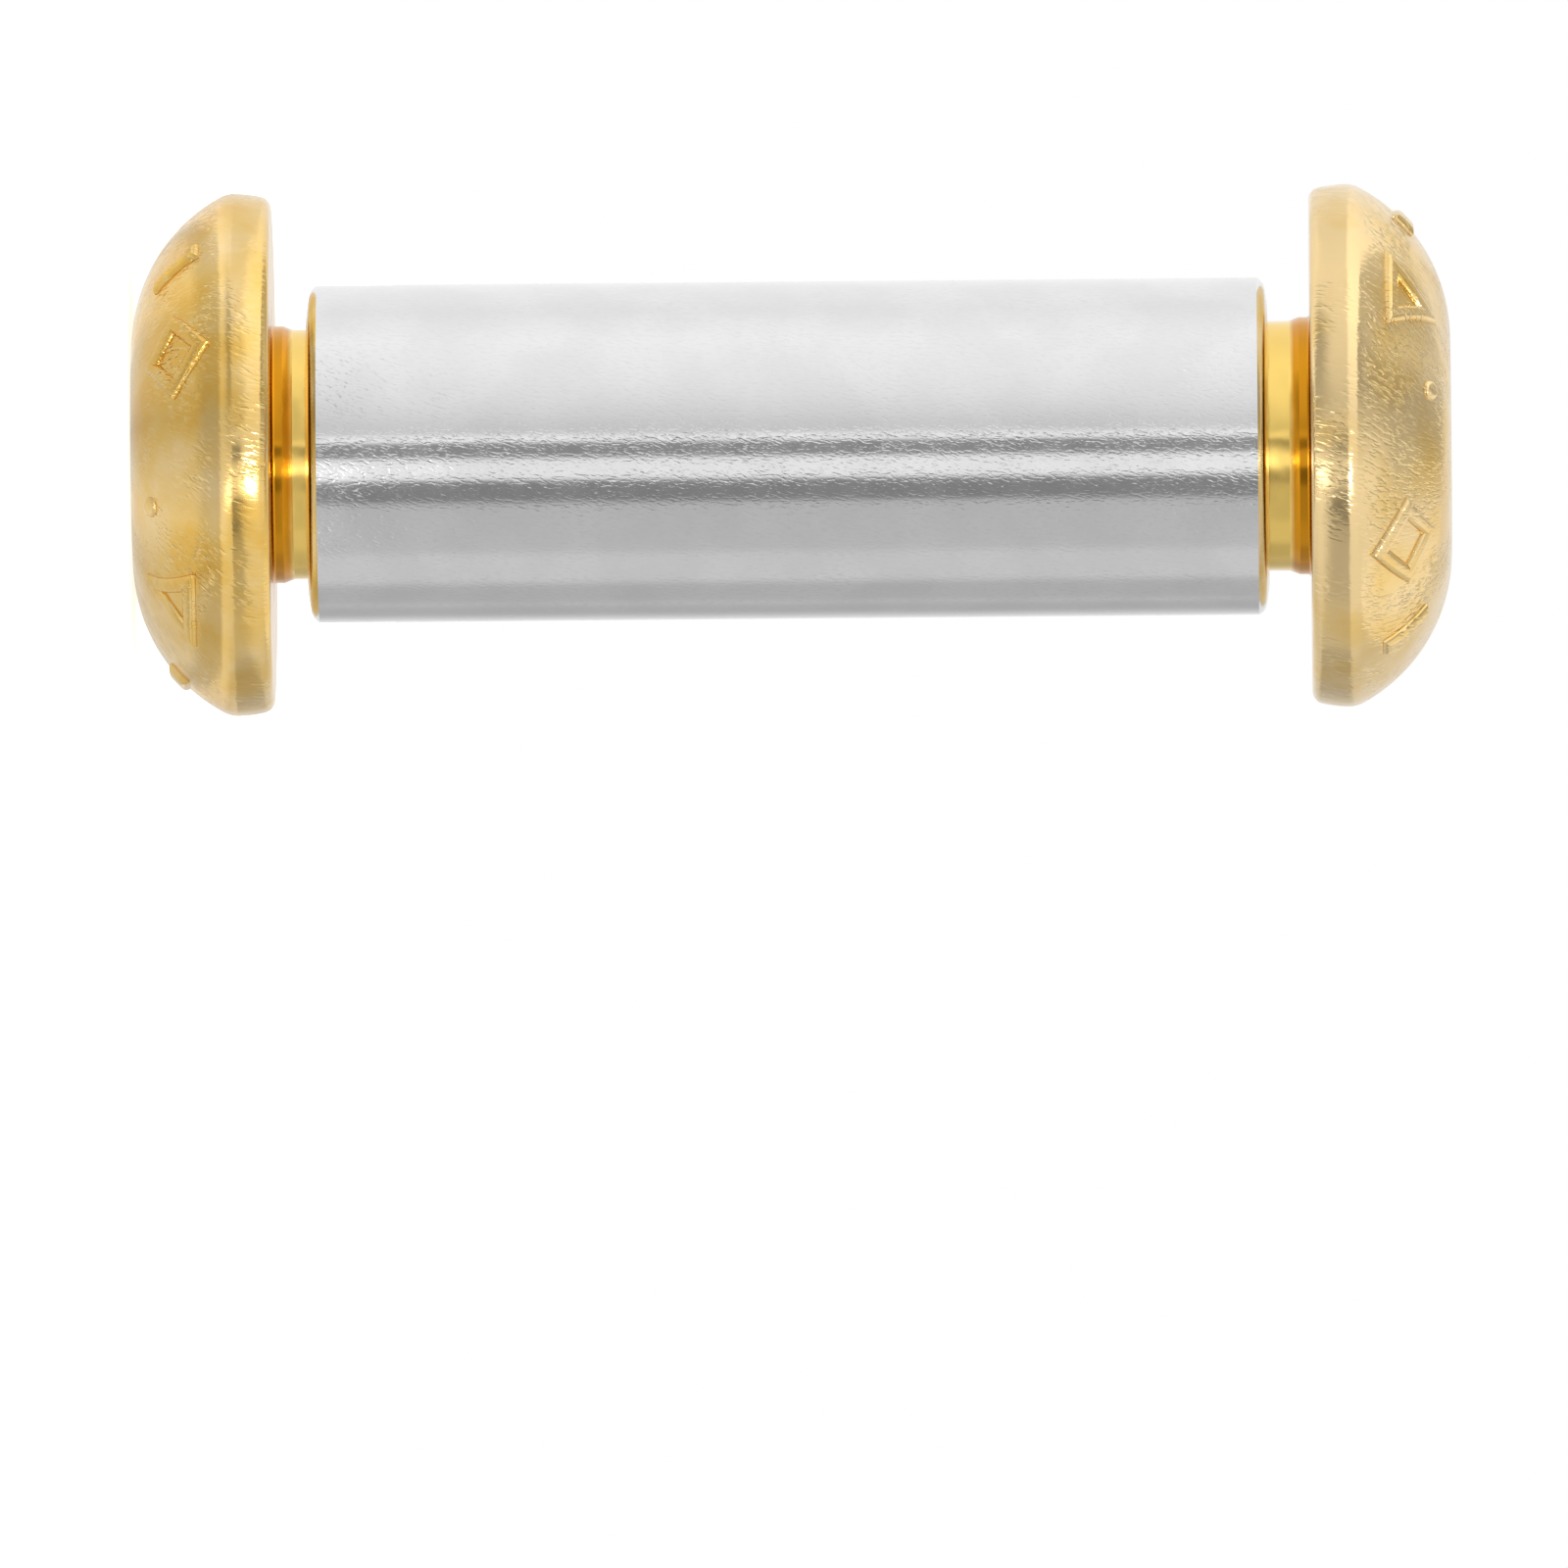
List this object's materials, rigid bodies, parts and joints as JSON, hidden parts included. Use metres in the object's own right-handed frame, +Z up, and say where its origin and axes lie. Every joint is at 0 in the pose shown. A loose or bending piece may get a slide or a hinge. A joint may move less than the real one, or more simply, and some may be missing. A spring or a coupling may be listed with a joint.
{
  "type": "knife handle screw",
  "caption": "Round threaded sleeve with a button-head hex-socket screw in each end; clamps handle scales to a knife's tang.",
  "frame": {"origin": "centre of the lower head's flat end, on the axis", "axes": "+Z up along the axis from the lower head to the upper head, +X towards a corner of each hex socket"},
  "size_m": [0.0092, 0.0092, 0.0235],
  "materials": {
    "turned_steel": "satin, turned and lightly scratched",
    "gold_metal": "bright gold colour with fine tumbling scratches"
  },
  "bodies": {
    "lower_screw": {"lower_screw": "gold_metal"},
    "sleeve": {"sleeve": "turned_steel"},
    "upper_screw": {"upper_screw": "gold_metal"}
  },
  "joints": [
    {"name": "lower_screw_travel", "type": "slide", "parent": "lower_screw", "child": "sleeve", "axis": [0, 0, 1], "range_m": [-0.0006, 0.0072]},
    {"name": "upper_screw_travel", "type": "slide", "parent": "sleeve", "child": "upper_screw", "axis": [0, 0, 1], "range_m": [-0.00073, 0.0072]}
  ]
}
